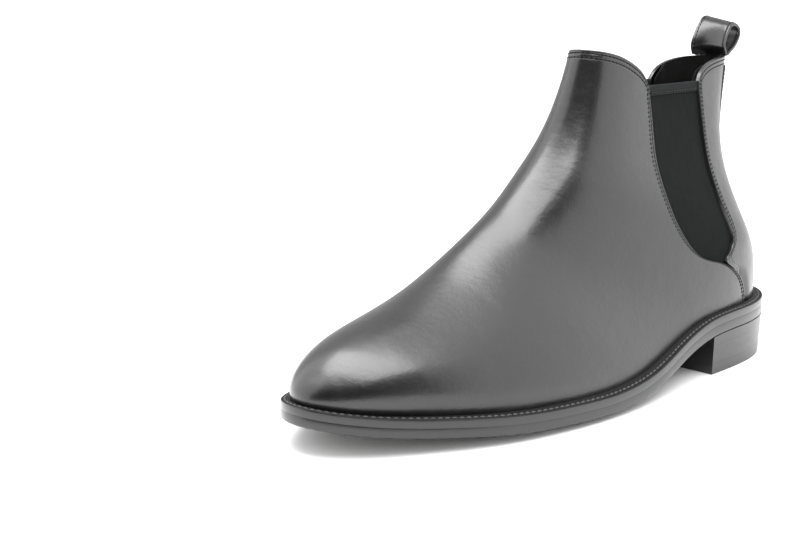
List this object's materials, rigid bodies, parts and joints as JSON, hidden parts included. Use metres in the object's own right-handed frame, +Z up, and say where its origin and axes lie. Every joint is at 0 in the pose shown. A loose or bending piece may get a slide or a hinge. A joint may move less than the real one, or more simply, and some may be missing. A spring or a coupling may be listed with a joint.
{
  "type": "chelsea boot",
  "caption": "Left ankle-high chelsea boot in polished leather with elastic side panels, a rear pull loop, a stitched welt and a low stacked heel.",
  "frame": {"origin": "middle of the heel's ground face, where the boot stands", "axes": "+X from heel to toe, +Y to the boot's outer (lateral) side, +Z up"},
  "size_m": [0.2979, 0.1092, 0.1684],
  "materials": {
    "calf_leather": "polished, smooth black calf",
    "gore_elastic": "matte, fine woven elastic",
    "gore_tape": "matte folded tape",
    "lining_leather": "matte black, soft",
    "stiffener_board": "dry fibreboard",
    "welt_leather": "dyed black, satin",
    "sole_leather": "dyed dark, satin edge",
    "heel_leather": "stacked, dyed black, satin",
    "insole_fibre": "dry, undyed",
    "cork": "cork granules, matte",
    "foam": "soft foam",
    "steel": "plain steel",
    "rubber": "matte black",
    "thread": "waxed black thread"
  },
  "bodies": {
    "boot": {"vamp": "calf_leather", "quarter_lateral": "calf_leather", "quarter_medial": "calf_leather", "backstay": "calf_leather", "pull_loop_end_inner": "calf_leather", "pull_loop_end_outer": "calf_leather", "gore_lateral": "gore_elastic", "gore_medial": "gore_elastic", "gore_binding_lateral": "gore_tape", "gore_binding_medial": "gore_tape", "vamp_lining": "lining_leather", "quarter_lining": "lining_leather", "sock_liner": "lining_leather", "toe_puff": "stiffener_board", "heel_counter": "stiffener_board", "welt": "welt_leather", "welt_thread": "thread", "outsole": "sole_leather", "heel_lift_1": "heel_leather", "heel_lift_2": "heel_leather", "heel_lift_3": "heel_leather", "heel_top_piece": "rubber", "insole_board": "insole_fibre", "insole_rib": "insole_fibre", "cork_filler": "cork", "heel_cushion": "foam", "shank": "steel", "heel_nail_1": "steel", "heel_nail_2": "steel", "heel_nail_3": "steel", "heel_nail_4": "steel", "heel_nail_5": "steel"},
    "pull_loop": {"pull_loop": "calf_leather"}
  },
  "joints": [
    {"name": "pull_loop_swing", "type": "hinge", "parent": "boot", "child": "pull_loop", "pos_m": [-0.028, -0.001, 0.1527], "axis": [0, 1, 0], "range_deg": [-27, 80], "stiffness_Nm_per_rad": 0.002}
  ]
}
